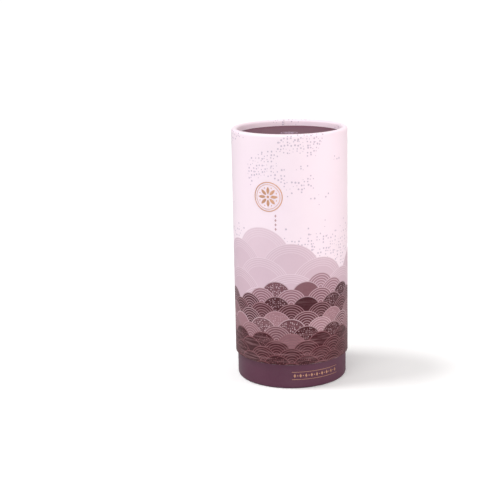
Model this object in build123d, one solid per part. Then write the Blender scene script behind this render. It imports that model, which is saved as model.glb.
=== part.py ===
from build123d import *
import math
import os

# A round gift tube box of wound board: a deep lid slides down over a plain base tube.
# Both tubes end in a rolled rim that holds a recessed end disc.
# Millimetres. The tube stands on Z, its foot rests on z = 0, and its front faces -Y.

# Whole box
LID_DIAMETER = 90.0
LID_HEIGHT = 179.0
BASE_SHOWING = 20.0
SLIP_CLEARANCE = 0.33

# Laminate of both tubes, from the outside in
WRAP_PAPER = 0.15
OUTER_PLY = 0.5
INNER_PLY = 0.5
LINING_PAPER = 0.12

# Rolled rims: radial width, depth from the rim's face to the turned end, and corner radius
LID_CURL_WIDTH = 4.7
LID_CURL_DEPTH = 5.0
LID_CURL_CORNER = 1.9
FOOT_CURL_WIDTH = 4.7
FOOT_CURL_DEPTH = 5.0
FOOT_CURL_CORNER = 1.9

# End discs
END_FACE_PAPER = 0.15
LID_END_BOARD = 1.5
BASE_END_BOARD = 1.5
END_BACK_PAPER = 0.12

# Foil trim, laid on a thin raised bed of varnish
FOIL = 0.05
FOIL_BED = 0.07
EMBLEM_DIAMETER = 22.8
EMBLEM_RING_LINE = 0.75
EMBLEM_INNER_RING_GAP = 1.1
EMBLEM_INNER_RING_LINE = 0.35
EMBLEM_AZIMUTH_DEG = -21.5
EMBLEM_HEIGHT = 152.0
PETAL_COUNT = 8
PETAL_LENGTH = 5.8
PETAL_WIDTH = 2.3
PETAL_ROOT_RADIUS = 1.9
ROSETTE_EYE_RADIUS = 1.0
BEAD_RADIUS = 0.45
BEAD_CIRCLE_RADIUS = 7.2
BAND_AZIMUTH_DEG = 26.5
BAND_HEIGHT = 10.6
LOZENGE_COUNT = 9
LOZENGE_HEIGHT = 3.2
LOZENGE_WIDTH = 1.9
LOZENGE_PITCH = 4.5
BAND_DOT_RADIUS = 0.45
BAND_RULE_LINE = 0.3
BAND_RULE_OFFSET = 3.0

# How far cutting and stamping tools overrun a face
OVERRUN = 1.0

# Worked out from the sizes above
WALL_LAYERS = {
    "wrap": WRAP_PAPER,
    "outer_ply": OUTER_PLY,
    "inner_ply": INNER_PLY,
    "lining": LINING_PAPER,
}
WALL = sum(WALL_LAYERS.values())
LID_RADIUS = LID_DIAMETER / 2
LID_BORE_RADIUS = LID_RADIUS - WALL
BASE_RADIUS = LID_BORE_RADIUS - SLIP_CLEARANCE
BASE_BORE_RADIUS = BASE_RADIUS - WALL
TOP = BASE_SHOWING + LID_HEIGHT
LID_END_TOP = TOP - LID_CURL_DEPTH
BASE_MOUTH = LID_END_TOP - END_FACE_PAPER - LID_END_BOARD - END_BACK_PAPER


def layer_profile(radius, width, corner, depth, length, skin, inner):
    """Section of one layer of a wall with a rolled rim, between two depths under the outside.

    Points are (radius, distance from the rim's face), so the rim's face is at 0.
    """
    outer_centre = radius - corner
    inner_centre = radius - width + corner

    def corner_arc(centre, side, depth_in):
        reach = corner - depth_in
        middle = reach * math.sqrt(0.5)
        return ThreePointArc(
            (centre + side * reach, corner),
            (centre + side * middle, corner - middle),
            (centre, depth_in),
        )

    with BuildSketch() as section:
        with BuildLine():
            Line((radius - skin, length), (radius - skin, corner))
            corner_arc(outer_centre, 1, skin)
            Line((outer_centre, skin), (inner_centre, skin))
            corner_arc(inner_centre, -1, skin)
            Line((radius - width + skin, corner), (radius - width + skin, depth))
            Line((radius - width + skin, depth), (radius - width + inner, depth))
            Line((radius - width + inner, depth), (radius - width + inner, corner))
            corner_arc(inner_centre, -1, inner)
            Line((inner_centre, inner), (outer_centre, inner))
            corner_arc(outer_centre, 1, inner)
            Line((radius - inner, corner), (radius - inner, length))
            Line((radius - inner, length), (radius - skin, length))
        make_face()
    return section.sketch


def turned(profile, rim_height, rim_up):
    """A ring turned from a section whose second coordinate runs from the rim's face."""
    ring = revolve(Plane.XZ * profile, Axis.Z)
    if rim_up:
        ring = Rot(180, 0, 0) * ring
    return Pos(0, 0, rim_height) * ring


def tube_layers(radius, width, corner, depth, length, rim_height, rim_up):
    """The wrap, the two board plies and the lining of one tube, by name."""
    layers = {}
    skin = 0
    for name, thickness in WALL_LAYERS.items():
        inner = skin + thickness
        profile = layer_profile(radius, width, corner, depth, length, skin, inner)
        layers[name] = turned(profile, rim_height, rim_up)
        skin = inner
    return layers


def disc_stack(radius, first_height, upward, thicknesses):
    """Round discs laid one on another from a height, up or down, by name."""
    discs = {}
    height = first_height
    for name, thickness in thicknesses.items():
        low = height if upward else height - thickness
        disc = Cylinder(radius, thickness, align=(Align.CENTER, Align.CENTER, Align.MIN))
        discs[name] = Pos(0, 0, low) * disc
        height = height + thickness if upward else low
    return discs


def foil_film(radius, height):
    """A sleeve of foil round a tube of this radius, on top of the varnish bed."""
    under = radius + FOIL_BED
    return Cylinder(under + FOIL, height) - Cylinder(under, height)


def stamped(drawing, radius, azimuth_deg, height):
    """Foil cut to a flat drawing and laid on a tube of this radius, front at azimuth 0."""
    punch = extrude(Plane.XZ * drawing, amount=radius + OVERRUN)
    film_height = drawing.bounding_box().size.Y + 2 * OVERRUN
    foil = foil_film(radius, film_height) & punch
    return Pos(0, 0, height) * Rot(0, 0, azimuth_deg) * foil


def ring_drawing(outer_radius, line):
    return Circle(outer_radius) - Circle(outer_radius - line)


def petal_drawing():
    """A pointed petal standing on the rosette's eye, from two equal arcs."""
    half = PETAL_WIDTH / 2
    tip = PETAL_ROOT_RADIUS + PETAL_LENGTH
    middle = PETAL_ROOT_RADIUS + PETAL_LENGTH / 2
    with BuildSketch() as petal:
        with BuildLine():
            ThreePointArc((0, PETAL_ROOT_RADIUS), (half, middle), (0, tip))
            ThreePointArc((0, tip), (-half, middle), (0, PETAL_ROOT_RADIUS))
        make_face()
    return petal.sketch


def emblem_drawing():
    """A double ring round an eight-petalled rosette with a bead between the petals."""
    outer = EMBLEM_DIAMETER / 2
    inner = outer - EMBLEM_RING_LINE - EMBLEM_INNER_RING_GAP
    step = 360 / PETAL_COUNT
    drawing = ring_drawing(outer, EMBLEM_RING_LINE)
    drawing += ring_drawing(inner, EMBLEM_INNER_RING_LINE)
    drawing += Circle(ROSETTE_EYE_RADIUS)
    for number in range(PETAL_COUNT):
        drawing += Rot(0, 0, number * step) * petal_drawing()
        bead = Pos(0, BEAD_CIRCLE_RADIUS) * Circle(BEAD_RADIUS)
        drawing += Rot(0, 0, (number + 0.5) * step) * bead
    return drawing


def lozenge_drawing():
    return Polygon(
        (0, LOZENGE_HEIGHT / 2),
        (-LOZENGE_WIDTH / 2, 0),
        (0, -LOZENGE_HEIGHT / 2),
        (LOZENGE_WIDTH / 2, 0),
    )


def rule_ring(height, first_deg, last_deg):
    """A thin foil line round part of the base."""
    film = foil_film(BASE_RADIUS, BAND_RULE_LINE)
    reach = 2 * BASE_RADIUS
    half = math.radians((last_deg - first_deg) / 2)
    wedge = Polygon(
        (0, 0),
        (-reach * math.sin(half), -reach * math.cos(half)),
        (reach * math.sin(half), -reach * math.cos(half)),
        align=None,
    )
    block = extrude(wedge, amount=BAND_RULE_LINE, both=True)
    middle_deg = (first_deg + last_deg) / 2
    return Pos(0, 0, height) * Rot(0, 0, middle_deg) * (film & block)


def base_ornament():
    """A row of lozenges and dots between two thin rules, in foil on the base."""
    step_deg = math.degrees(LOZENGE_PITCH / BASE_RADIUS)
    first_deg = BAND_AZIMUTH_DEG - step_deg * (LOZENGE_COUNT - 1) / 2
    last_deg = first_deg + step_deg * (LOZENGE_COUNT - 1)
    pieces = []
    for number in range(LOZENGE_COUNT):
        azimuth = first_deg + number * step_deg
        pieces.append(stamped(lozenge_drawing(), BASE_RADIUS, azimuth, BAND_HEIGHT))
    for number in range(LOZENGE_COUNT - 1):
        azimuth = first_deg + (number + 0.5) * step_deg
        pieces.append(stamped(Circle(BAND_DOT_RADIUS), BASE_RADIUS, azimuth, BAND_HEIGHT))
    for side in (-1, 1):
        height = BAND_HEIGHT + side * BAND_RULE_OFFSET
        pieces.append(rule_ring(height, first_deg - step_deg / 2, last_deg + step_deg / 2))
    return Compound(children=[solid for piece in pieces for solid in piece.solids()])


def lid():
    """The deep lid: rolled rim at the top, its disc set under the rim's turned end."""
    walls = tube_layers(
        LID_RADIUS, LID_CURL_WIDTH, LID_CURL_CORNER, LID_CURL_DEPTH, LID_HEIGHT, TOP, True
    )
    ends = disc_stack(
        LID_BORE_RADIUS,
        LID_END_TOP,
        False,
        {
            "end_face_paper": END_FACE_PAPER,
            "end_board": LID_END_BOARD,
            "end_back_paper": END_BACK_PAPER,
        },
    )
    emblem = stamped(emblem_drawing(), LID_RADIUS, EMBLEM_AZIMUTH_DEG, EMBLEM_HEIGHT)
    return {**walls, **ends, "foil_emblem": emblem}


def base():
    """The base tube: rolled foot, with its floor disc set on the foot's turned end."""
    walls = tube_layers(
        BASE_RADIUS, FOOT_CURL_WIDTH, FOOT_CURL_CORNER, FOOT_CURL_DEPTH, BASE_MOUTH, 0, False
    )
    ends = disc_stack(
        BASE_BORE_RADIUS,
        FOOT_CURL_DEPTH,
        True,
        {
            "end_face_paper": END_FACE_PAPER,
            "end_board": BASE_END_BOARD,
            "floor_paper": END_BACK_PAPER,
        },
    )
    return {**walls, **ends, "foil_ornament": base_ornament()}


os.makedirs("parts", exist_ok=True)
for owner, pieces in (("lid", lid()), ("base", base())):
    for piece_name, piece in pieces.items():
        export_step(piece, f"parts/{owner}_{piece_name}.step")
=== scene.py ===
import math

import bpy
from mathutils import Matrix, Vector


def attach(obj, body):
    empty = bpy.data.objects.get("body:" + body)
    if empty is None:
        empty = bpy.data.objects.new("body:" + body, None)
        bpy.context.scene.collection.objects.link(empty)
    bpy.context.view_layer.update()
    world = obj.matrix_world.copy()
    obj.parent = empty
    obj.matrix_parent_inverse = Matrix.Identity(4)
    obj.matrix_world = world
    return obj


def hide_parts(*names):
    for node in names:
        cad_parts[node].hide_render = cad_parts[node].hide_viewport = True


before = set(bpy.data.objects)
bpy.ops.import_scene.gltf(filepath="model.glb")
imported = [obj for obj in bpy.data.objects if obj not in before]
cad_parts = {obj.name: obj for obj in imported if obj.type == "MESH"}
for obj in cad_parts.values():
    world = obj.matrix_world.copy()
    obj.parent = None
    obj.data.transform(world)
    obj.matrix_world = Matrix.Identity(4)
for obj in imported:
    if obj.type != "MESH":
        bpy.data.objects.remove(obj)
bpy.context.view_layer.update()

MM = 0.001
PER_METRE = 1000.0

# Sizes of the tube in millimetres, as the CAD has them
LID_RADIUS = 45.0
BASE_RADIUS = 43.4
TOP = 199.0
LID_OPEN_END = 20.0
BASE_MOUTH = 192.23
LID_DISC_TOP = 194.0
FOOT_DISC_BOTTOM = 5.0
WRAP_PAPER = 0.15
PLIES = 1.0
LINING_PAPER = 0.12
WALL = WRAP_PAPER + PLIES + LINING_PAPER
DISC_PAPER = 0.15
DISC_BACKING = 0.12
DISC_BOARD = 1.5
CURL_WIDTH = 4.7
CURL_DEPTH = 5.0
CURL_CORNER = 1.9

# Each tube by its radius and the heights of its open end and its rim's face
LID_TUBE = {"radius": LID_RADIUS, "open_end": LID_OPEN_END, "rim": TOP}
BASE_TUBE = {"radius": BASE_RADIUS, "open_end": BASE_MOUTH, "rim": 0.0}

# How finely the papers are modelled
SEGMENTS = 240
COLUMN_TURN = 2 * math.pi / SEGMENTS
WALL_STEPS = 12
CORNER_STEPS = 7
CORNER_ROOM = 1.6  # how much wall the last step takes up to the rim, in corner radii
WALL_SMOOTH_DEG = 40
DISC_SMOOTH_DEG = 30
SAME_PLACE = 0.001  # how near two places are to count as one

# The lap of a wrap down its back. The print starts a hair past the lap's free edge.
LAP_STEPS = 6
LAP_RISE = 0.13
LAP_SUNK = 0.01
LAP_HALF_TURN = LAP_STEPS * COLUMN_TURN / 2
PRINT_JOINT = LAP_HALF_TURN + 0.0015

# The papers on the end discs: the width of their edge, their rings inside it in shares of the
# radius, and how far glue lifts the middle of the top one
DISC_EDGE = 0.06
DISC_RINGS = (0.08, 0.25, 0.3)
TOP_DISC_CROWN = 0.06


# Modelling

def start_circle(name, radius, height, fill):
    """A circle about the tube's axis, in edit mode with all of it selected."""
    bpy.ops.object.select_all(action="DESELECT")
    bpy.ops.mesh.primitive_circle_add(
        vertices=SEGMENTS, radius=radius * MM, fill_type=fill, location=(0, 0, height * MM)
    )
    piece = bpy.context.object
    piece.name = piece.data.name = name
    bpy.ops.object.transform_apply(location=True, rotation=True, scale=True)
    bpy.ops.object.mode_set(mode="EDIT")
    bpy.ops.mesh.select_mode(type="EDGE")
    bpy.ops.mesh.select_all(action="SELECT")
    return piece


def select_where(piece, kind, test):
    """In edit mode, selects the vertices, faces or edges whose middle passes the test.

    Middles are in millimetres. Only edges that run level round the tube are tested.
    """
    bpy.ops.mesh.select_mode(type=kind)
    bpy.ops.mesh.select_all(action="DESELECT")
    bpy.ops.object.mode_set(mode="OBJECT")
    mesh = piece.data
    if kind == "VERT":
        for vertex in mesh.vertices:
            vertex.select = test(vertex.co / MM)
    elif kind == "FACE":
        for face in mesh.polygons:
            face.select = test(face.center / MM)
    else:
        for edge in mesh.edges:
            first, second = (mesh.vertices[number].co for number in edge.vertices)
            level = abs(first.z - second.z) < SAME_PLACE * MM
            round_tube = abs(first.xy.length - second.xy.length) < SAME_PLACE * MM
            edge.select = level and round_tube and test((first + second) / 2 / MM)
    bpy.ops.object.mode_set(mode="EDIT")


def pull(height):
    """Extrudes what is selected straight along the tube."""
    bpy.ops.mesh.extrude_region_move(TRANSFORM_OT_translate={"value": (0, 0, height * MM)})


def widen(scale):
    """Brings what is selected nearer to the tube's axis or farther from it."""
    bpy.ops.transform.resize(value=(scale, scale, 1), center_override=(0, 0, 0))


def face_outwards(piece):
    """Turns every face the same way, with the outer wall facing away from the axis."""
    bpy.ops.mesh.select_all(action="SELECT")
    bpy.ops.mesh.remove_doubles(threshold=SAME_PLACE * MM)
    bpy.ops.mesh.normals_make_consistent(inside=False)
    bpy.ops.object.mode_set(mode="OBJECT")
    outer = max(piece.data.polygons, key=lambda face: face.center.xy.length)
    if outer.center.xy.dot(outer.normal.xy) < 0:
        bpy.ops.object.mode_set(mode="EDIT")
        bpy.ops.mesh.flip_normals()
        bpy.ops.object.mode_set(mode="OBJECT")


def raise_lap(piece, radius, low, high):
    """Lifts a strip down the back, where the wrap's end laps over its start.

    The side towards -X stays high as the free edge, and the strip sinks back into the paper
    towards +X.
    """
    def from_back(point):
        return math.atan2(point.y, point.x) - math.pi / 2

    def in_strip(point):
        on_wall = low < point.z < high and point.xy.length > radius - LAP_RISE
        return on_wall and abs(from_back(point)) < LAP_HALF_TURN

    select_where(piece, "FACE", in_strip)
    bpy.ops.mesh.extrude_region_move()
    widen(1 + LAP_RISE / radius)
    for number in range(LAP_STEPS + 1):
        column_turn = number * COLUMN_TURN - LAP_HALF_TURN
        rise = LAP_SUNK + (LAP_RISE - LAP_SUNK) * number / LAP_STEPS

        def in_column(point, column_turn=column_turn):
            raised = point.xy.length > radius + LAP_RISE / 2
            return raised and abs(from_back(point) - column_turn) < COLUMN_TURN / 4

        select_where(piece, "VERT", in_column)
        widen((radius + rise) / (radius + LAP_RISE))


def wall_sheet(name, radius, open_end, rim, skin, thickness, lapped):
    """One paper of a tube's wall that turns over into the rolled rim, as a closed sheet.

    skin is how deep the sheet lies under the tube's outside. A lap takes a plain offset for
    the sheet's thickness, because an even one makes spikes along its edges.
    """
    way = 1 if rim > open_end else -1
    outer = radius - skin
    inner = radius - CURL_WIDTH + skin
    corner = CURL_CORNER - skin
    face = rim - way * skin
    straight = face - way * corner * CORNER_ROOM - open_end
    piece = start_circle(name, outer, open_end, "NOTHING")
    for _ in range(WALL_STEPS):
        pull(straight / WALL_STEPS)
    pull(face - open_end - straight)
    pull(0)
    widen(inner / outer)
    pull(rim - way * CURL_DEPTH - face)

    select_where(piece, "EDGE", lambda point: abs(point.z - face) < SAME_PLACE)
    bpy.ops.mesh.bevel(
        offset=corner * MM, segments=CORNER_STEPS, profile=0.5, affect="EDGES", clamp_overlap=False
    )
    if lapped:
        low, high = sorted((open_end, rim - way * CURL_CORNER))
        raise_lap(piece, radius, low, high)
    face_outwards(piece)

    sheet = piece.modifiers.new("Sheet", "SOLIDIFY")
    sheet.thickness = thickness * MM
    sheet.offset = -1
    sheet.use_even_offset = not lapped
    bpy.ops.object.modifier_apply(modifier=sheet.name)
    bpy.ops.object.shade_smooth_by_angle(angle=math.radians(WALL_SMOOTH_DEG))
    return piece


def wrap_sheet(name, tube):
    """The outermost paper of a tube, with its lap."""
    return wall_sheet(name, skin=0.0, thickness=WRAP_PAPER, lapped=True, **tube)


def lining_sheet(name, tube):
    """The innermost paper of a tube."""
    depth = WRAP_PAPER + PLIES
    return wall_sheet(name, skin=depth, thickness=LINING_PAPER, lapped=False, **tube)


def disc_sheet(name, tube, low, high, crown=0.0):
    """A round paper on an end disc, as a thin closed disc that can be crowned in the middle."""
    radius = tube["radius"] - WALL
    piece = start_circle(name, radius, low, "NGON")
    pull(high - low)
    select_where(piece, "FACE", lambda point: abs(point.z - high) < SAME_PLACE)
    bpy.ops.mesh.inset(thickness=DISC_EDGE * MM, depth=0)
    for share in DISC_RINGS:
        bpy.ops.mesh.inset(thickness=radius * share * MM, depth=0)
        bpy.ops.transform.translate(value=(0, 0, crown * MM / len(DISC_RINGS)))
    bpy.ops.mesh.select_all(action="SELECT")
    bpy.ops.mesh.normals_make_consistent(inside=False)
    bpy.ops.object.mode_set(mode="OBJECT")
    bpy.ops.object.shade_smooth_by_angle(angle=math.radians(DISC_SMOOTH_DEG))
    return piece


# Nodes, written as formulas

NUMBER = "NodeSocketFloat"
VECTOR = "NodeSocketVector"

# The numbers of the Mix node's sockets for colours
MIX_SHARE, MIX_FIRST, MIX_SECOND, MIX_RESULT = 0, 6, 7, 2


class Value:
    """What a node's socket gives. Sums and comparisons with it add Math nodes to its tree."""

    def __init__(self, socket):
        self.socket = socket
        self.tree = socket.id_data

    def __add__(self, other):
        return calc("ADD", self, other)

    def __radd__(self, other):
        return calc("ADD", other, self)

    def __sub__(self, other):
        return calc("SUBTRACT", self, other)

    def __rsub__(self, other):
        return calc("SUBTRACT", other, self)

    def __mul__(self, other):
        return calc("MULTIPLY", self, other)

    def __rmul__(self, other):
        return calc("MULTIPLY", other, self)

    def __truediv__(self, other):
        return calc("DIVIDE", self, other)

    def __rtruediv__(self, other):
        return calc("DIVIDE", other, self)

    def __lt__(self, other):
        return calc("LESS_THAN", self, other)

    def __gt__(self, other):
        return calc("GREATER_THAN", self, other)

    def __abs__(self):
        return calc("ABSOLUTE", self)


def tree_of(values):
    """The node tree of the first of these that is no plain number or colour."""
    return next(value.tree for value in values if isinstance(value, Value))


def feed(socket, value):
    """Links a value to a socket, or sets the socket to a plain number or colour."""
    if isinstance(value, Value):
        value.tree.links.new(value.socket, socket)
    else:
        socket.default_value = value


def fill(sockets, values):
    """Feeds each of the named sockets its value."""
    for name, value in values.items():
        feed(sockets[name], value)


def add_node(tree, kind, inputs, **settings):
    """Adds a node, sets it and feeds its inputs, and gives what each of its outputs gives."""
    node = tree.nodes.new(kind)
    for name, setting in settings.items():
        setattr(node, name, setting)
    fill(node.inputs, inputs)
    return [Value(socket) for socket in node.outputs]


def named_output(tree, kind, name):
    """One output, by its name, of a node that takes no input."""
    return Value(tree.nodes.new(kind).outputs[name])


def calc(operation, *values, clamp=False):
    """A Math node's answer."""
    inputs = dict(enumerate(values))
    settings = {"operation": operation, "use_clamp": clamp}
    return add_node(tree_of(values), "ShaderNodeMath", inputs, **settings)[0]


def ramp(value, low, high, to_low=0.0, to_high=1.0):
    """A smooth step, from one level where the value is low to another where it is high."""
    inputs = {
        "Value": value, "From Min": low, "From Max": high, "To Min": to_low, "To Max": to_high,
    }
    settings = {"interpolation_type": "SMOOTHSTEP"}
    return add_node(value.tree, "ShaderNodeMapRange", inputs, **settings)[0]


def fade(value, low, high):
    """A smooth step down from 1 where the value is low to 0 where it is high."""
    return ramp(value, low, high, 1.0, 0.0)


def blend(share, first, second, way="MIX"):
    """Two colours blended, with the share of the second from 0 to 1."""
    inputs = {MIX_SHARE: share, MIX_FIRST: first, MIX_SECOND: second}
    settings = {"data_type": "RGBA", "blend_type": way}
    return add_node(tree_of(inputs.values()), "ShaderNodeMix", inputs, **settings)[MIX_RESULT]


def lay_over(paint, colour, mask, strength):
    """The paint with another colour over it where the mask is 1, as strongly as given."""
    return blend(mask * strength, paint, colour)


def point(x, y, z=0.0):
    """A place from its three parts."""
    return add_node(tree_of((x, y, z)), "ShaderNodeCombineXYZ", {0: x, 1: y, 2: z})[0]


def parts_of(place):
    """The three parts of a place."""
    return add_node(place.tree, "ShaderNodeSeparateXYZ", {0: place})


def distance(x, y):
    """How far a flat place is from its origin."""
    return calc("SQRT", x * x + y * y)


def noise(place, scale=1.0, detail=2.0, roughness=0.5):
    """Cloudy noise from 0 to 1."""
    inputs = {"Vector": place, "Scale": scale, "Detail": detail, "Roughness": roughness}
    return add_node(place.tree, "ShaderNodeTexNoise", inputs)[0]


def colour_steps(value, steps):
    """A Color Ramp through pairs of a place and a colour."""
    node = value.tree.nodes.new("ShaderNodeValToRGB")
    marks = node.color_ramp.elements
    while len(marks) < len(steps):
        marks.new(0.5)
    for mark, (place, colour) in zip(marks, steps):
        mark.position = place
        mark.color = colour
    feed(node.inputs[0], value)
    return Value(node.outputs[0])


def bump(height, strength, depth, under=None):
    """A normal from a height, on top of another normal if one is given."""
    inputs = {"Strength": strength, "Distance": depth, "Height": height}
    if under:
        inputs["Normal"] = under
    return add_node(height.tree, "ShaderNodeBump", inputs)[0]


def new_group(name, inputs, outputs):
    """An effect as a node group, with its inputs and outputs as kinds of socket by name."""
    tree = bpy.data.node_groups.new(name, "ShaderNodeTree")
    for way, sockets in (("INPUT", inputs), ("OUTPUT", outputs)):
        for title, kind in sockets.items():
            tree.interface.new_socket(name=title, in_out=way, socket_type=kind)
    sources = tree.nodes.new("NodeGroupInput").outputs
    given = {title: Value(sources[title]) for title in inputs}
    return tree, given, tree.nodes.new("NodeGroupOutput").inputs


def use_group(group, **values):
    """Places an effect in the tree that its values come from, and gives its outputs by name."""
    node = tree_of(values.values()).nodes.new("ShaderNodeGroup")
    node.node_tree = group
    fill(node.inputs, values)
    return {socket.name: Value(socket) for socket in node.outputs}


def new_material(name):
    """A material, its shader's inputs, and the place on the piece in metres."""
    material = bpy.data.materials.new(name)
    material.use_nodes = True
    tree = material.node_tree
    place = named_output(tree, "ShaderNodeTexCoord", "Object")
    return material, tree.nodes["Principled BSDF"].inputs, place


# Effects that the materials share

# Fibres: how many noise waves there are to a metre, and how the long ones lie
FINE_FIBRES, LONG_FIBRES, FIBRE_CLOUDS = 2600.0, 420.0, 45.0
LONG_FIBRE_TURN, LONG_FIBRE_SCALE = (0.6, 0.3, 0.9), (1.0, 5.0, 1.4)

# Wear: the noise that counts as worn away from an edge, and how much less does on it
WEAR_THRESHOLD, WEAR_ON_EDGE = 0.78, 0.3

# Pleats: radians of their wave to a millimetre, its drift, and how far in they start
PLEAT_TURN, PLEAT_DRIFT = 2.4, 22.0
PLEATS_START = (1.4, 4.4)

# The lap's light line and its shade, in millimetres past its edge
LAP_LINE_END, LAP_SHADE_END = (0.06, 0.2), (0.1, 1.4)

# The lining's seam: how far the strip climbs in one turn, and how far the joint's line reaches
WOUND_STRIP = 108.0
SEAM_EDGE = (0.12, 0.4)

# Fans: how far apart their rows are in widths, and the reach where there is no fan
FAN_ROW_PITCH = 0.25
NO_FAN = 9.0

# Dots: the smallest radius, what the largest has more, and their scatter, in shares of a cell
DOT_RADIUS, DOT_SPREAD, DOT_SCATTER = 0.13, 0.19, 0.7
DOT_EDGE = (-0.05, 0.07)


def make_tube_place():
    """Where a point lies on the tube: round it and up it in millimetres, and how far out.

    Around is 0 at the front. Sheet is the place on the flat paper, which runs on over the
    lid's rim.
    """
    tree, given, result = new_group(
        "tube place",
        {"Place": VECTOR, "Radius": NUMBER},
        {"Around": NUMBER, "Height": NUMBER, "Out": NUMBER, "Sheet": VECTOR},
    )
    x, y, z = parts_of(given["Place"])
    turn = calc("ARCTAN2", x, y * -1.0)
    turn = calc("WRAP", turn, math.pi + PRINT_JOINT, PRINT_JOINT - math.pi)
    around = turn * given["Radius"]
    height = z * PER_METRE
    out = distance(x, y) * PER_METRE
    inwards = given["Radius"] - out
    past_rim = inwards > CURL_WIDTH / 2
    along = TOP + inwards + (TOP - height) * (past_rim * 2.0 - 1.0)
    sheet = point(around, along, out)
    fill(result, {"Around": around, "Height": height, "Out": out, "Sheet": sheet})
    return tree


def make_paper_fibre():
    """Fine matted fibres of paper: a tone that varies a little, and a height for the bump."""
    tree, given, result = new_group(
        "paper fibre",
        {"Place": VECTOR, "Fineness": NUMBER},
        {"Tone": NUMBER, "Height": NUMBER},
    )
    place, fineness = given["Place"], given["Fineness"]
    lie = {"Vector": place, "Rotation": LONG_FIBRE_TURN, "Scale": LONG_FIBRE_SCALE}
    lain = add_node(tree, "ShaderNodeMapping", lie)[0]
    fine = noise(place, fineness * FINE_FIBRES, detail=3.0, roughness=0.6)
    long = noise(lain, fineness * LONG_FIBRES, detail=4.0, roughness=0.65)
    cloud = noise(place, fineness * FIBRE_CLOUDS, detail=3.0)
    matted = long * 0.55 + fine * 0.45
    fill(result, {"Height": matted, "Tone": matted * 0.6 + cloud * 0.4})
    return tree


def make_edge_wear():
    """A broken line of rubbing along an edge at a given height, strongest on the edge."""
    tree, given, result = new_group(
        "edge wear",
        {"Place": VECTOR, "Height": NUMBER, "Edge": NUMBER, "Width": NUMBER, "Amount": NUMBER},
        {"Mask": NUMBER},
    )
    away = abs(given["Height"] - given["Edge"])
    near = calc("SUBTRACT", 1.0, away / given["Width"], clamp=True)
    coarse = noise(given["Place"], scale=160.0, detail=4.0, roughness=0.7)
    fine = noise(given["Place"], scale=1400.0, roughness=0.6)
    threshold = WEAR_THRESHOLD - near * WEAR_ON_EDGE
    worn = ramp(coarse * 0.7 + fine * 0.3 - threshold, 0.0, 0.06)
    fill(result, {"Mask": calc("MULTIPLY", worn * near, given["Amount"], clamp=True)})
    return tree


def make_rim_pleats():
    """The small radial pleats that paper takes where it is rolled inwards over the rim."""
    tree, given, result = new_group(
        "rim pleats",
        {"Around": NUMBER, "Out": NUMBER, "Outside": NUMBER},
        {"Height": NUMBER},
    )
    around = given["Around"]
    drift = noise(point(around * 0.11, 0.0))
    wave = calc("SINE", around * PLEAT_TURN + drift * PLEAT_DRIFT)
    sharp = calc("POWER", abs(wave), 0.6)
    rolled_in = ramp(given["Outside"] - given["Out"], *PLEATS_START)
    fill(result, {"Height": sharp * rolled_in})
    return tree


def make_paper_lap():
    """The lap down the back: a thin light line along its free edge, and a shade beside it."""
    tree, given, result = new_group(
        "paper lap",
        {"Around": NUMBER, "Radius": NUMBER},
        {"Line": NUMBER, "Shade": NUMBER},
    )
    past_edge = given["Around"] + given["Radius"] * (math.pi - PRINT_JOINT)
    line, shadow = fade(past_edge, *LAP_LINE_END), fade(past_edge, *LAP_SHADE_END)
    fill(result, {"Line": line, "Shade": shadow})
    return tree


def make_fan_row():
    """One row of round fans: which fan is nearest, and how far a point is from its middle.

    Reach is 1 on the fan's edge. Every other row is set over by half a fan.
    """
    tree, given, result = new_group(
        "fan row",
        dict.fromkeys(("Around", "Height", "Row", "Width", "Pitch", "Foot"), NUMBER),
        {"Reach": NUMBER, "Column": NUMBER, "Middle": NUMBER},
    )
    width = given["Width"]
    half_step = calc("FLOORED_MODULO", given["Row"], 2.0) * 0.5 * width
    column = calc("ROUND", (given["Around"] - half_step) / width)
    middle = half_step + column * width
    rise = given["Height"] - (given["Foot"] + given["Row"] * given["Pitch"])
    reach = distance(given["Around"] - middle, rise) / (width * 0.5)
    fill(result, {"Reach": reach, "Column": column, "Middle": middle})
    return tree


def make_overlapping_fans(fan_row):
    """Rows of fans that lap like roof tiles, the lower rows in front.

    Rows is the last one, and by Swell it rises and falls twice round the tube. Pick is a
    number from 0 to 1 of each fan's own, and Cover is 1 where there is a fan.
    """
    tree, given, result = new_group(
        "overlapping fans",
        dict.fromkeys(("Around", "Height", "Width", "Foot", "Rows", "Swell", "Phase"), NUMBER),
        {"Reach": NUMBER, "Row": NUMBER, "Pick": NUMBER, "Cover": NUMBER},
    )
    place = {name: given[name] for name in ("Around", "Height", "Width", "Foot")}
    pitch = given["Width"] * FAN_ROW_PITCH
    drop = given["Height"] - given["Foot"] - given["Width"] * 0.5
    lowest = calc("CEIL", drop / pitch)
    reach, row, column, cover = NO_FAN, 0.0, 0.0, 0.0
    for step in (2.0, 1.0, 0.0):
        this_row = lowest + step
        found = use_group(fan_row, Row=this_row, Pitch=pitch, **place)
        turn = found["Middle"] * (2 / LID_RADIUS) + given["Phase"]
        last = given["Rows"] + calc("SINE", turn) * given["Swell"]
        here = (found["Reach"] < 1.0) * (this_row < last + 0.5)
        elsewhere = 1.0 - here
        reach = found["Reach"] * here + reach * elsewhere
        row = this_row * here + row * elsewhere
        column = found["Column"] * here + column * elsewhere
        cover = here + cover * elsewhere
    own = {"Vector": point(column, row)}
    pick = add_node(tree, "ShaderNodeTexWhiteNoise", own, noise_dimensions="2D")[0]
    fill(result, {"Reach": reach, "Row": row, "Pick": pick, "Cover": cover})
    return tree


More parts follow.
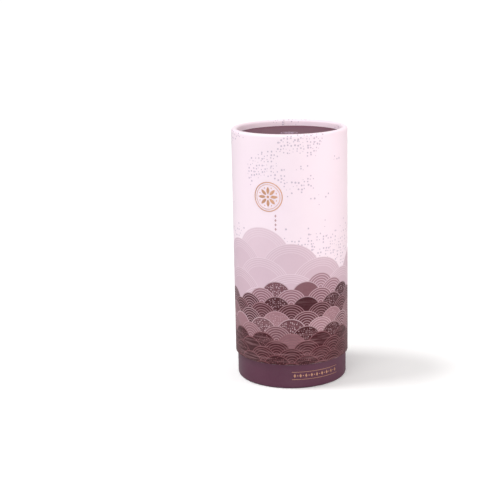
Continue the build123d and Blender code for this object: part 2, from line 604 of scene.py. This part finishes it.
def make_speckle():
    """Small uneven printed dots, each with a chance from 0 to 1 by which it can be left out."""
    tree, given, result = new_group(
        "printed speckle",
        {"Sheet": VECTOR, "Size": NUMBER},
        {"Dot": NUMBER, "Chance": NUMBER, "Middle": VECTOR},
    )
    cells = {"Vector": given["Sheet"], "Scale": 1.0 / given["Size"], "Randomness": DOT_SCATTER}
    away, own_colour, middle, *_ = add_node(
        tree, "ShaderNodeTexVoronoi", cells, voronoi_dimensions="2D"
    )
    own_size, chance, _ = add_node(tree, "ShaderNodeSeparateColor", {0: own_colour})
    radius = DOT_RADIUS + own_size * DOT_SPREAD
    fill(result, {"Dot": ramp(radius - away, *DOT_EDGE), "Chance": chance, "Middle": middle})
    return tree


def make_wound_seam():
    """The helical butt joint that a spirally wound strip leaves on a tube's lining."""
    tree, given, result = new_group(
        "wound seam",
        {"Around": NUMBER, "Height": NUMBER, "Radius": NUMBER},
        {"Line": NUMBER, "Step": NUMBER},
    )
    climb = given["Around"] / (given["Radius"] * (2 * math.pi)) * WOUND_STRIP
    strips = (given["Height"] + climb) / WOUND_STRIP
    beside = calc("PINGPONG", strips, 0.5) * WOUND_STRIP
    fill(result, {"Line": fade(beside, *SEAM_EDGE), "Step": calc("FRACT", strips)})
    return tree


TUBE_PLACE = make_tube_place()
PAPER_FIBRE = make_paper_fibre()
EDGE_WEAR = make_edge_wear()
RIM_PLEATS = make_rim_pleats()
PAPER_LAP = make_paper_lap()
OVERLAPPING_FANS = make_overlapping_fans(make_fan_row())
SPECKLE = make_speckle()
WOUND_SEAM = make_wound_seam()


def kept_dots(dots, share):
    """The dots whose chance lies under a share from 0 to 1."""
    return dots["Dot"] * (dots["Chance"] < share)


def worn_edge(place, height, edge, width, amount):
    """Where an edge at a given height is rubbed."""
    wear = {"Height": height, "Edge": edge, "Width": width, "Amount": amount}
    return use_group(EDGE_WEAR, Place=place, **wear)["Mask"]


def mottled(paint, tone, amount):
    """The paint made a little lighter and darker by the tone of the fibres."""
    change = tone * amount - amount / 2
    return blend(1.0, paint, point(change, change, change), "ADD")


def about(middle, share, spread):
    """A number that a share from 0 to 1 moves up and down about its middle."""
    return middle + (share - 0.5) * spread


# Finishes

# How deep the relief of each is, in metres
FIBRE_DEPTH, PLEAT_DEPTH = 0.00012, 0.00018
LINING_DEPTH, BOARD_DEPTH, FOIL_DEPTH = 0.00015, 0.0002, 0.0001


def shade(red, green, blue):
    """A colour as it shows on screen, from 0 to 255, turned into what a shader takes."""
    def one(level):
        level = level / 255
        return level / 12.92 if level <= 0.04045 else ((level + 0.055) / 1.055) ** 2.4
    return (one(red), one(green), one(blue), 1.0)


BLUSH, BLUSH_WARM = shade(253, 233, 246), shade(253, 237, 244)
BLUSH_GRAIN = shade(240, 219, 233)
DRIFT_DOT = shade(203, 184, 203)
COLUMN_LOZENGE = shade(186, 140, 146)
LARGE_FAN_LINE = shade(243, 224, 234)
SMALL_FAN_STREAK = shade(176, 132, 138)
LID_LAP_SHADE, LID_LAP_LINE = shade(120, 84, 96), shade(246, 240, 236)
LID_WORN = shade(250, 244, 240)

# Colours of the fans, from the lowest at 0 to the highest at 1
LARGE_FAN_FILLS = (
    (0.0, shade(196, 162, 176)), (0.5, shade(212, 183, 196)),
    (0.75, shade(220, 193, 206)), (1.0, shade(234, 209, 221)),
)
SMALL_FAN_FILLS = (
    (0.0, shade(64, 24, 31)), (0.2, shade(68, 26, 33)), (0.28, shade(80, 36, 43)),
    (0.34, shade(156, 113, 122)), (0.39, shade(166, 126, 135)), (0.45, shade(96, 52, 60)),
    (0.52, shade(60, 21, 28)), (0.6, shade(90, 46, 55)), (0.68, shade(140, 98, 107)),
    (0.78, shade(172, 134, 146)), (1.0, shade(196, 162, 176)),
)
SMALL_FAN_LINES = (
    (0.0, shade(134, 82, 88)), (0.25, shade(148, 98, 105)), (0.37, shade(224, 194, 202)),
    (0.5, shade(176, 130, 139)), (0.62, shade(216, 184, 196)), (0.8, shade(234, 209, 221)),
)

PLUM_DARK, PLUM_LIGHT = shade(87, 47, 67), shade(99, 56, 76)
PLUM_RUBBED, PLUM_SLID = shade(140, 104, 118), shade(150, 116, 130)
PLUM_WORN = shade(186, 158, 164)
PLUM_LAP_SHADE, PLUM_LAP_LINE = shade(52, 28, 40), shade(176, 150, 156)
DISC_DARK, DISC_LIGHT = shade(96, 50, 68), shade(107, 58, 76)
DISC_SCUFF, DISC_MARK = shade(150, 120, 136), shade(178, 156, 178)
# Painted shade in the corner where a disc meets the rim's wall, along with a dark glue joint
DISC_CORNER_SHADE = shade(44, 24, 34)
LINING_DARK, LINING_LIGHT = shade(232, 226, 216), shade(248, 245, 238)
LINING_FLECK = shade(176, 160, 138)
SEAM_LINE, SEAM_STEP = shade(170, 158, 142), shade(214, 206, 192)
WOUND_DARK, WOUND_LIGHT = shade(132, 112, 90), shade(176, 156, 132)
END_DARK, END_LIGHT = shade(118, 106, 94), shade(164, 152, 138)
BOARD_SPECK = shade(96, 78, 62)
FOIL_DARK, FOIL_LIGHT = shade(224, 162, 130), shade(250, 200, 168)

# The print's fans, in millimetres on the flat paper and in rows. Foot is the height of the
# lowest fans' middles. Over so many rows their tones go from the first to the last.
GIRTH = 2 * math.pi * LID_RADIUS
LARGE_FANS = {"Width": GIRTH / 6, "Foot": 22.0, "Rows": 6.0, "Swell": 0.9, "Phase": 2.6}
SMALL_FANS = {"Width": GIRTH / 12, "Foot": 10.0, "Rows": 10.2, "Swell": 1.6, "Phase": 0.9}
LARGE_TONE_ROWS, SMALL_TONE_ROWS = 7.0, 16.0

# What is drawn in a fan, in shares of its radius, and which fans have it by their own number
LARGE_RINGS = {"count": 14.0, "thin": 0.08, "wide": 0.16}
SMALL_RINGS = {"count": 6.0, "thin": 0.1, "wide": 0.2}
LARGE_RINGS_START = (0.68, 0.7)
LARGE_OUTLINE, SMALL_OUTLINE = (0.972, 0.982), (0.93, 0.96)
DOTS_END = (0.86, 0.9)
RINGED_OVER, DOTTED_UNDER = 0.42, 0.3

# The rest of the print, in millimetres on the flat paper, with the emblem where the CAD has it
FAN_DOT_SIZE = 1.5
STREAKS_END = (44.0, 92.0)
DRIFT_DOT_SIZE = 2.5
HIGH_DRIFTS_START = (138.0, 176.0)
LOW_DRIFTS_END = (106.0, 134.0)
EMBLEM_AROUND, EMBLEM_HEIGHT = -16.9, 152.0
EMBLEM_CLEARING = 15.0
COLUMN_AROUND = -11.2
COLUMN_LOW, COLUMN_HIGH = 125.7, 139.3
COLUMN_START, COLUMN_PITCH = 124.0, 3.4
LOZENGE_HALF_WIDTH, LOZENGE_HALF_HEIGHT = 0.85, 1.25

# Over which height the rub marks of the sliding lid begin on the base
SLIDE_START = (20.0, 30.0)

# Radians to a millimetre of the wave that draws the layers in a cut board
BOARD_LAYER_TURN = 42.0

# The small rosette on the lid's disc, and where painted shade darkens a disc towards the wall
# along its dark glue joint, in millimetres
PETAL_ROOT, PETAL_LENGTH = 1.2, 3.6
ROSETTE_HOLE = (1.15, 1.35)
ROSETTE_RING = 6.2
RING_EDGE = (0.25, 0.42)
PETAL_EDGE = (-0.12, 0.12)
DISC_CORNER_SHADE_SPAN = (38.8, 40.2)


def blush_ground(around, height, fibre):
    """The pale paper that the print stands on."""
    drift = noise(point(around * 0.02, height * 0.02), detail=3.0)
    ground = blend(drift, BLUSH, BLUSH_WARM)
    return lay_over(ground, BLUSH_GRAIN, ramp(fibre["Tone"], 0.52, 0.68), 0.3)


def fan_rings(reach, count, thin, wide):
    """Thin lines round a fan's middle, as many as given out to its edge."""
    return fade(calc("PINGPONG", reach * count, 0.5), thin, wide)


def large_fans(around, height):
    """The pale fans behind, with thin rings near their edges, and what they cover."""
    fans = use_group(OVERLAPPING_FANS, Around=around, Height=height, **LARGE_FANS)
    reach = fans["Reach"]
    tone = about(fans["Row"] / LARGE_TONE_ROWS, fans["Pick"], 0.2)
    rings = fan_rings(reach, **LARGE_RINGS) * ramp(reach, *LARGE_RINGS_START)
    lines = calc("MAXIMUM", rings, ramp(reach, *LARGE_OUTLINE))
    paint = lay_over(colour_steps(tone, LARGE_FAN_FILLS), LARGE_FAN_LINE, lines, 0.6)
    return paint, fans["Cover"]


def small_fans(around, height, sheet):
    """The dark fans in front, ringed, plain or dotted, and what they cover."""
    fans = use_group(OVERLAPPING_FANS, Around=around, Height=height, **SMALL_FANS)
    reach, pick = fans["Reach"], fans["Pick"]
    level = fans["Row"] / SMALL_TONE_ROWS
    line_colour = colour_steps(level, SMALL_FAN_LINES)
    rings = fan_rings(reach, **SMALL_RINGS) * (pick > RINGED_OVER)
    lines = calc("MAXIMUM", rings, ramp(reach, *SMALL_OUTLINE))
    paint = colour_steps(about(level, pick, 0.16), SMALL_FAN_FILLS)
    paint = lay_over(paint, line_colour, lines, 0.72)

    flecks = use_group(SPECKLE, Sheet=sheet, Size=FAN_DOT_SIZE)
    dots = kept_dots(flecks, 0.8) * (pick < DOTTED_UNDER) * fade(reach, *DOTS_END)
    paint = lay_over(paint, line_colour, dots, 0.85)

    streaks = noise(point(around * 0.035, height * 0.55), detail=5.0, roughness=0.65)
    streaked = ramp(streaks, 0.46, 0.7) * fade(height, *STREAKS_END)
    return lay_over(paint, SMALL_FAN_STREAK, streaked, 0.42), fans["Cover"]


def dot_drifts(sheet):
    """Drifts of dots high on the lid and low over the fans, kept clear of the emblem."""
    drifts = use_group(SPECKLE, Sheet=sheet, Size=DRIFT_DOT_SIZE)
    along, level, _ = parts_of(drifts["Middle"])
    patches = ramp(noise(point(along * 0.026, level * 0.04), detail=1.0), 0.5, 0.58)
    high = patches * ramp(level, *HIGH_DRIFTS_START)
    low = ramp(level, *LOW_DRIFTS_END, 0.7, 0.0)
    from_emblem = distance(along - EMBLEM_AROUND, level - EMBLEM_HEIGHT)
    return kept_dots(drifts, (high + low) * (from_emblem > EMBLEM_CLEARING))


def lozenge_column(around, height):
    """A short column of small lozenges below the emblem and beside it."""
    across = abs(around - COLUMN_AROUND)
    beside = calc("PINGPONG", (height - COLUMN_START) / COLUMN_PITCH, 0.5) * COLUMN_PITCH
    lozenge = across / LOZENGE_HALF_WIDTH + beside / LOZENGE_HALF_HEIGHT
    return fade(lozenge, 0.85, 1.1) * (height > COLUMN_LOW) * (height < COLUMN_HIGH)


def wrap_relief(spot, fibre, radius, grain):
    """The wrap's fibres, and the pleats where it is rolled in over the rim."""
    pleats = use_group(RIM_PLEATS, Around=spot["Around"], Out=spot["Out"], Outside=radius)
    return bump(pleats["Height"], 0.5, PLEAT_DEPTH, bump(fibre["Height"], grain, FIBRE_DEPTH))


def lid_print():
    """Soft-touch art paper with the whole print, rubbed at both ends."""
    material, shader, place = new_material("lid printed paper")
    spot = use_group(TUBE_PLACE, Place=place, Radius=LID_RADIUS)
    around, height, sheet = spot["Around"], spot["Height"], spot["Sheet"]
    fibre = use_group(PAPER_FIBRE, Place=place, Fineness=1.0)

    paint = blush_ground(around, height, fibre)
    paint = lay_over(paint, DRIFT_DOT, dot_drifts(sheet), 0.85)
    for fan_paint, cover in (large_fans(around, height), small_fans(around, height, sheet)):
        paint = blend(cover, paint, fan_paint)
    paint = lay_over(paint, COLUMN_LOZENGE, lozenge_column(around, height), 0.9)

    lap = use_group(PAPER_LAP, Around=around, Radius=LID_RADIUS)
    paint = lay_over(paint, LID_LAP_SHADE, lap["Shade"], 0.16)
    paint = lay_over(paint, LID_LAP_LINE, lap["Line"], 0.65)
    rim_wear = worn_edge(place, height, TOP, width=2.4, amount=0.35)
    end_wear = worn_edge(place, height, LID_OPEN_END, width=0.7, amount=0.25)
    wear = calc("MAXIMUM", rim_wear, end_wear)
    paint = blend(wear, paint, LID_WORN)
    fill(shader, {
        "Base Color": mottled(paint, fibre["Tone"], 0.12),
        "Roughness": about(0.44, fibre["Tone"], 0.22) + wear * 0.3,
        "Normal": wrap_relief(spot, fibre, LID_RADIUS, grain=0.3),
        "Sheen Weight": 0.02,
        "Sheen Roughness": 0.45,
        "Specular IOR Level": 0.25,
    })
    return material


def plum_paper():
    """Plum soft-touch paper on the base tube, rubbed by the sliding lid and at both ends."""
    material, shader, place = new_material("base plum paper")
    spot = use_group(TUBE_PLACE, Place=place, Radius=BASE_RADIUS)
    around, height = spot["Around"], spot["Height"]
    fibre = use_group(PAPER_FIBRE, Place=place, Fineness=0.9)

    cloud = noise(place, scale=24.0, detail=4.0, roughness=0.55)
    rub = ramp(noise(place, scale=70.0, detail=6.0, roughness=0.75), 0.6, 0.82)
    streaks = noise(point(around * 1.6, height * 0.025), detail=4.0, roughness=0.6)
    slid = ramp(streaks, 0.56, 0.74) * ramp(height, *SLIDE_START)
    foot_wear = worn_edge(place, height, 0.0, width=1.6, amount=0.4)
    mouth_wear = worn_edge(place, height, BASE_MOUTH, width=1.4, amount=0.6)
    lap = use_group(PAPER_LAP, Around=around, Radius=BASE_RADIUS)

    paint = blend(cloud, PLUM_DARK, PLUM_LIGHT)
    paint = lay_over(paint, PLUM_RUBBED, rub, 0.22)
    paint = lay_over(paint, PLUM_SLID, slid, 0.3)
    paint = blend(calc("MAXIMUM", foot_wear, mouth_wear), paint, PLUM_WORN)
    paint = lay_over(paint, PLUM_LAP_SHADE, lap["Shade"], 0.3)
    paint = lay_over(paint, PLUM_LAP_LINE, lap["Line"], 0.5)
    fill(shader, {
        "Base Color": mottled(paint, fibre["Tone"], 0.05),
        "Roughness": about(0.4, fibre["Tone"], 0.26) + rub * 0.12,
        "Normal": wrap_relief(spot, fibre, BASE_RADIUS, grain=0.2),
        "Sheen Weight": 0.02,
        "Sheen Roughness": 0.4,
        "Specular IOR Level": 0.4,
    })
    return material


def rosette(x, y, out):
    """A small rosette of eight petals in a ring."""
    petals = abs(calc("COSINE", calc("ARCTAN2", y, x) * 4.0))
    petal = ramp(PETAL_ROOT + petals * PETAL_LENGTH - out, *PETAL_EDGE)
    ring = fade(abs(out - ROSETTE_RING), *RING_EDGE)
    return calc("MAXIMUM", petal * ramp(out, *ROSETTE_HOLE), ring)


def disc_paper(name, marked):
    """Plum paper on an end disc, with an optional printed rosette in pale mauve."""
    material, shader, place = new_material(name)
    fibre = use_group(PAPER_FIBRE, Place=place, Fineness=0.9)
    x, y, _ = (part * PER_METRE for part in parts_of(place))
    out = distance(x, y)
    cloud = noise(place, scale=30.0, detail=4.0, roughness=0.55)
    scuff = ramp(noise(place, scale=110.0, detail=6.0, roughness=0.8), 0.58, 0.8)
    paint = lay_over(blend(cloud, DISC_DARK, DISC_LIGHT), DISC_SCUFF, scuff, 0.2)
    if marked:
        paint = lay_over(paint, DISC_MARK, rosette(x, y, out), 0.9)
    fill(shader, {
        # Painted shade darkens the disc's edge in the corner under the rim's wall, along with a
        # dark glue joint
        "Base Color": lay_over(paint, DISC_CORNER_SHADE, ramp(out, *DISC_CORNER_SHADE_SPAN), 0.85),
        "Roughness": 0.46 + fibre["Tone"] * 0.16,
        "Normal": bump(fibre["Height"], 0.22, FIBRE_DEPTH),
        "Specular IOR Level": 0.18,
    })
    return material


def white_paper(name):
    """Uncoated white kraft: its material, shader inputs, place, fibre and plain paint."""
    material, shader, place = new_material(name)
    fibre = use_group(PAPER_FIBRE, Place=place, Fineness=0.7)
    fill(shader, {"Roughness": 0.62 + fibre["Tone"] * 0.2})
    return material, shader, place, fibre, blend(fibre["Tone"], LINING_DARK, LINING_LIGHT)


def flecked(paint, sheet):
    """White paper with a few fibres that were not bleached."""
    flecks = use_group(SPECKLE, Sheet=sheet, Size=1.3)
    return lay_over(paint, LINING_FLECK, kept_dots(flecks, 0.07), 0.2)


def wound_lining(name, radius):
    """The white lining of a tube, with the seam of its spiral winding."""
    material, shader, place, fibre, paint = white_paper(name)
    spot = use_group(TUBE_PLACE, Place=place, Radius=radius)
    around, height = spot["Around"], spot["Height"]
    seam = use_group(WOUND_SEAM, Around=around, Height=height, Radius=radius)
    paint = lay_over(flecked(paint, spot["Sheet"]), SEAM_LINE, seam["Line"], 0.5)
    relief = fibre["Height"] * 0.4 - seam["Line"] * 1.2
    fill(shader, {
        "Base Color": lay_over(paint, SEAM_STEP, seam["Step"], 0.12),
        "Normal": bump(relief, 0.4, LINING_DEPTH),
    })
    return material


def flat_lining(name):
    """The white paper on the inner side of an end disc."""
    material, shader, place, fibre, paint = white_paper(name)
    x, y, _ = (part * PER_METRE for part in parts_of(place))
    fill(shader, {
        "Base Color": flecked(paint, point(x, y)),
        "Normal": bump(fibre["Height"], 0.4, LINING_DEPTH),
    })
    return material


def chip_board(name, dark, light):
    """Grey-brown chipboard: matted fibres, darker specks, and the layers of its cut edge."""
    material, shader, place = new_material(name)
    spot = use_group(TUBE_PLACE, Place=place, Radius=LID_RADIUS)
    fibre = use_group(PAPER_FIBRE, Place=place, Fineness=0.6)
    layers = calc("SINE", spot["Out"] * BOARD_LAYER_TURN)
    paint = blend(ramp(fibre["Tone"] + layers * 0.1, 0.25, 0.75), dark, light)
    specks = use_group(SPECKLE, Sheet=spot["Sheet"], Size=1.1)
    fill(shader, {
        "Base Color": lay_over(paint, BOARD_SPECK, kept_dots(specks, 0.3), 0.35),
        "Roughness": 0.75 + fibre["Tone"] * 0.2,
        "Normal": bump(fibre["Height"], 0.6, BOARD_DEPTH),
    })
    return material


def copper_foil():
    """Hot foil in pale copper: a polished film that takes the grain of the paper under it."""
    material, shader, place = new_material("copper foil")
    fibre = use_group(PAPER_FIBRE, Place=place, Fineness=1.0)
    cloud = noise(place, scale=320.0, detail=3.0, roughness=0.6)
    fill(shader, {
        "Base Color": blend(cloud, FOIL_DARK, FOIL_LIGHT),
        "Metallic": 1.0,
        "Roughness": 0.22 + cloud * 0.2,
        "Normal": bump(fibre["Height"], 0.14, FOIL_DEPTH),
    })
    return material


# Putting the pieces in their places

def dress(piece, material, body, node):
    """Gives a finished piece its material, the body it rides on and the CAD node it stands for."""
    piece.data.materials.append(material)
    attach(piece, body)
    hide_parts(node)


def repaint(material, *nodes):
    """Gives CAD nodes whose shapes stay a better material."""
    for node in nodes:
        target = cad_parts[node]
        if not target.material_slots:
            target.data.materials.append(material)
        for place in target.material_slots:
            place.material = material


lid_disc_face = LID_DISC_TOP - DISC_PAPER
lid_disc_back = lid_disc_face - DISC_BOARD
dress(wrap_sheet("lid_printed_paper_wrap", LID_TUBE),
      lid_print(), "lid", "lid_wrap")
dress(lining_sheet("lid_white_lining", LID_TUBE),
      wound_lining("lid lining paper", LID_RADIUS), "lid", "lid_lining")
dress(disc_sheet("lid_top_disc_paper", LID_TUBE, lid_disc_face, LID_DISC_TOP, TOP_DISC_CROWN),
      disc_paper("lid disc paper", True), "lid", "lid_end_face_paper")
dress(disc_sheet("lid_inside_disc_paper", LID_TUBE, lid_disc_back, lid_disc_back - DISC_BACKING),
      flat_lining("lid inside paper"), "lid", "lid_end_back_paper")

foot_disc_face = FOOT_DISC_BOTTOM + DISC_PAPER
floor_low = foot_disc_face + DISC_BOARD
dress(wrap_sheet("base_plum_paper_wrap", BASE_TUBE),
      plum_paper(), "base", "base_wrap")
dress(lining_sheet("base_white_lining", BASE_TUBE),
      wound_lining("base lining paper", BASE_RADIUS), "base", "base_lining")
dress(disc_sheet("base_foot_disc_paper", BASE_TUBE, foot_disc_face, FOOT_DISC_BOTTOM),
      disc_paper("foot disc paper", False), "base", "base_end_face_paper")
dress(disc_sheet("base_floor_disc_paper", BASE_TUBE, floor_low, floor_low + DISC_BACKING),
      flat_lining("base floor paper"), "base", "base_floor_paper")

repaint(chip_board("wound board", WOUND_DARK, WOUND_LIGHT),
        "lid_outer_ply", "lid_inner_ply", "base_outer_ply", "base_inner_ply")
repaint(chip_board("end board", END_DARK, END_LIGHT), "lid_end_board", "base_end_board")
repaint(copper_foil(), "lid_foil_emblem", "base_foil_ornament")


# Floor, light and camera

FLOOR_RADIUS, FLOOR_CORNERS = 9.0, 96
FLOOR_SEEN, FLOOR_CAST = (0.96, 0.96, 0.96, 1), (0.5, 0.5, 0.5, 1)
FLOOR_GLOW = 0.12
WHITE = (1, 1, 1, 1)
WORLD_SEEN, WORLD_LEFT, WORLD_RIGHT = 1.05, 0.42, 0.37

# Suns by where they stand, their strength and their softness in degrees
SUNS = (
    ("high left light", (-0.44, -0.025, 0.9), 1.42, 17),
    ("front soft light", (-0.3, -0.9, 0.36), 1.42, 60),
    ("back soft light", (0.3, 0.9, 0.1), 0.55, 60),
)

# Soft boxes by where they stand, their power and their colour, all turned to one point
SOFT_BOXES = (
    ("left soft box", (-0.95, -0.35, 0.4), 0.6, (1, 1, 1)),
    ("right soft box", (0.95, -0.3, 0.35), 4.9, (1.0, 0.93, 0.89)),
)
BOX_TARGET = (0, 0, 0.1)
BOX_WIDTH, BOX_HEIGHT = 0.6, 0.8

# The camera by a fit to the tube's outline, with its focal length in pixels of the picture
CAMERA_PLACE = (0, -0.90834, 0.3248)
CAMERA_YAW, CAMERA_PITCH, CAMERA_ROLL = -0.044, 0.2329, -0.0225
FOCAL_PIXELS, PICTURE_PIXELS = 1178.3, 480
SENSOR_WIDTH = 36.0
CLIP_END = 50.0


def in_scene(name, data):
    """A lamp or camera as an object in the scene."""
    thing = bpy.data.objects.new(name, data)
    bpy.context.scene.collection.objects.link(thing)
    return thing


def white_floor():
    """A pale floor. It shows white, but throws less light back on the tube than it shows."""
    bpy.ops.object.select_all(action="DESELECT")
    bpy.ops.mesh.primitive_circle_add(
        vertices=FLOOR_CORNERS, radius=FLOOR_RADIUS, fill_type="NGON"
    )
    floor = bpy.context.object
    floor.name = "studio_floor"
    material, shader, place = new_material("white sweep")
    straight = named_output(place.tree, "ShaderNodeLightPath", "Is Camera Ray")
    fill(shader, {
        "Base Color": blend(straight, FLOOR_CAST, FLOOR_SEEN),
        "Emission Strength": straight * FLOOR_GLOW,
        "Roughness": 0.9,
        "Specular IOR Level": 0.1,
    })
    floor.data.materials.append(material)


def soft_box(name, place, power, colour):
    """A lamp with a broad face, which the camera doesn't see."""
    lamp = bpy.data.lights.new(name, "AREA")
    lamp.shape = "RECTANGLE"
    lamp.size, lamp.size_y = BOX_WIDTH, BOX_HEIGHT
    lamp.energy = power
    lamp.color = colour
    thing = in_scene(name, lamp)
    thing.location = place
    thing.visible_camera = False
    aim = Vector(BOX_TARGET) - Vector(place)
    thing.rotation_euler = aim.to_track_quat("-Z", "Y").to_euler()


def sun(name, towards, strength, softness):
    """Even light from one side."""
    lamp = bpy.data.lights.new(name, "SUN")
    lamp.energy = strength
    lamp.angle = math.radians(softness)
    in_scene(name, lamp).rotation_euler = Vector(towards).to_track_quat("Z", "Y").to_euler()


def studio_world():
    """White behind everything, and a softer light all round that is weaker on the right."""
    world = bpy.data.worlds.new("studio")
    bpy.context.scene.world = world
    world.use_nodes = True
    tree = world.node_tree
    tree.nodes.clear()
    sideways, _, _ = parts_of(named_output(tree, "ShaderNodeTexCoord", "Generated"))
    strength = ramp(sideways, -0.8, 0.8, WORLD_LEFT, WORLD_RIGHT)
    seen = add_node(tree, "ShaderNodeBackground", {"Color": WHITE, "Strength": WORLD_SEEN})[0]
    cast = add_node(tree, "ShaderNodeBackground", {"Color": WHITE, "Strength": strength})[0]
    straight = named_output(tree, "ShaderNodeLightPath", "Is Camera Ray")
    surface = add_node(tree, "ShaderNodeMixShader", {0: straight, 1: cast, 2: seen})[0]
    add_node(tree, "ShaderNodeOutputWorld", {"Surface": surface})


def photo_camera():
    """The photograph's camera."""
    yaw, pitch, roll = CAMERA_YAW, CAMERA_PITCH, CAMERA_ROLL
    ahead, aside = math.cos(yaw) * math.cos(pitch), math.sin(yaw) * math.cos(pitch)
    forward = Vector((aside, ahead, -math.sin(pitch)))
    right = Vector((math.cos(yaw), -math.sin(yaw), 0))
    up = right.cross(forward)
    right_rolled = math.cos(roll) * right + math.sin(roll) * up
    up_rolled = -math.sin(roll) * right + math.cos(roll) * up
    lens = bpy.data.cameras.new("photo camera")
    lens.sensor_width = SENSOR_WIDTH
    lens.lens = FOCAL_PIXELS / PICTURE_PIXELS * SENSOR_WIDTH
    lens.clip_end = CLIP_END
    camera = in_scene("photo camera", lens)
    turn = Matrix((right_rolled, up_rolled, -forward)).transposed()
    camera.matrix_world = Matrix.Translation(CAMERA_PLACE) @ turn.to_4x4()
    bpy.context.scene.camera = camera


white_floor()
studio_world()
for placed_sun in SUNS:
    sun(*placed_sun)
for placed_box in SOFT_BOXES:
    soft_box(*placed_box)
photo_camera()
bpy.context.scene.view_settings.view_transform = "Standard"
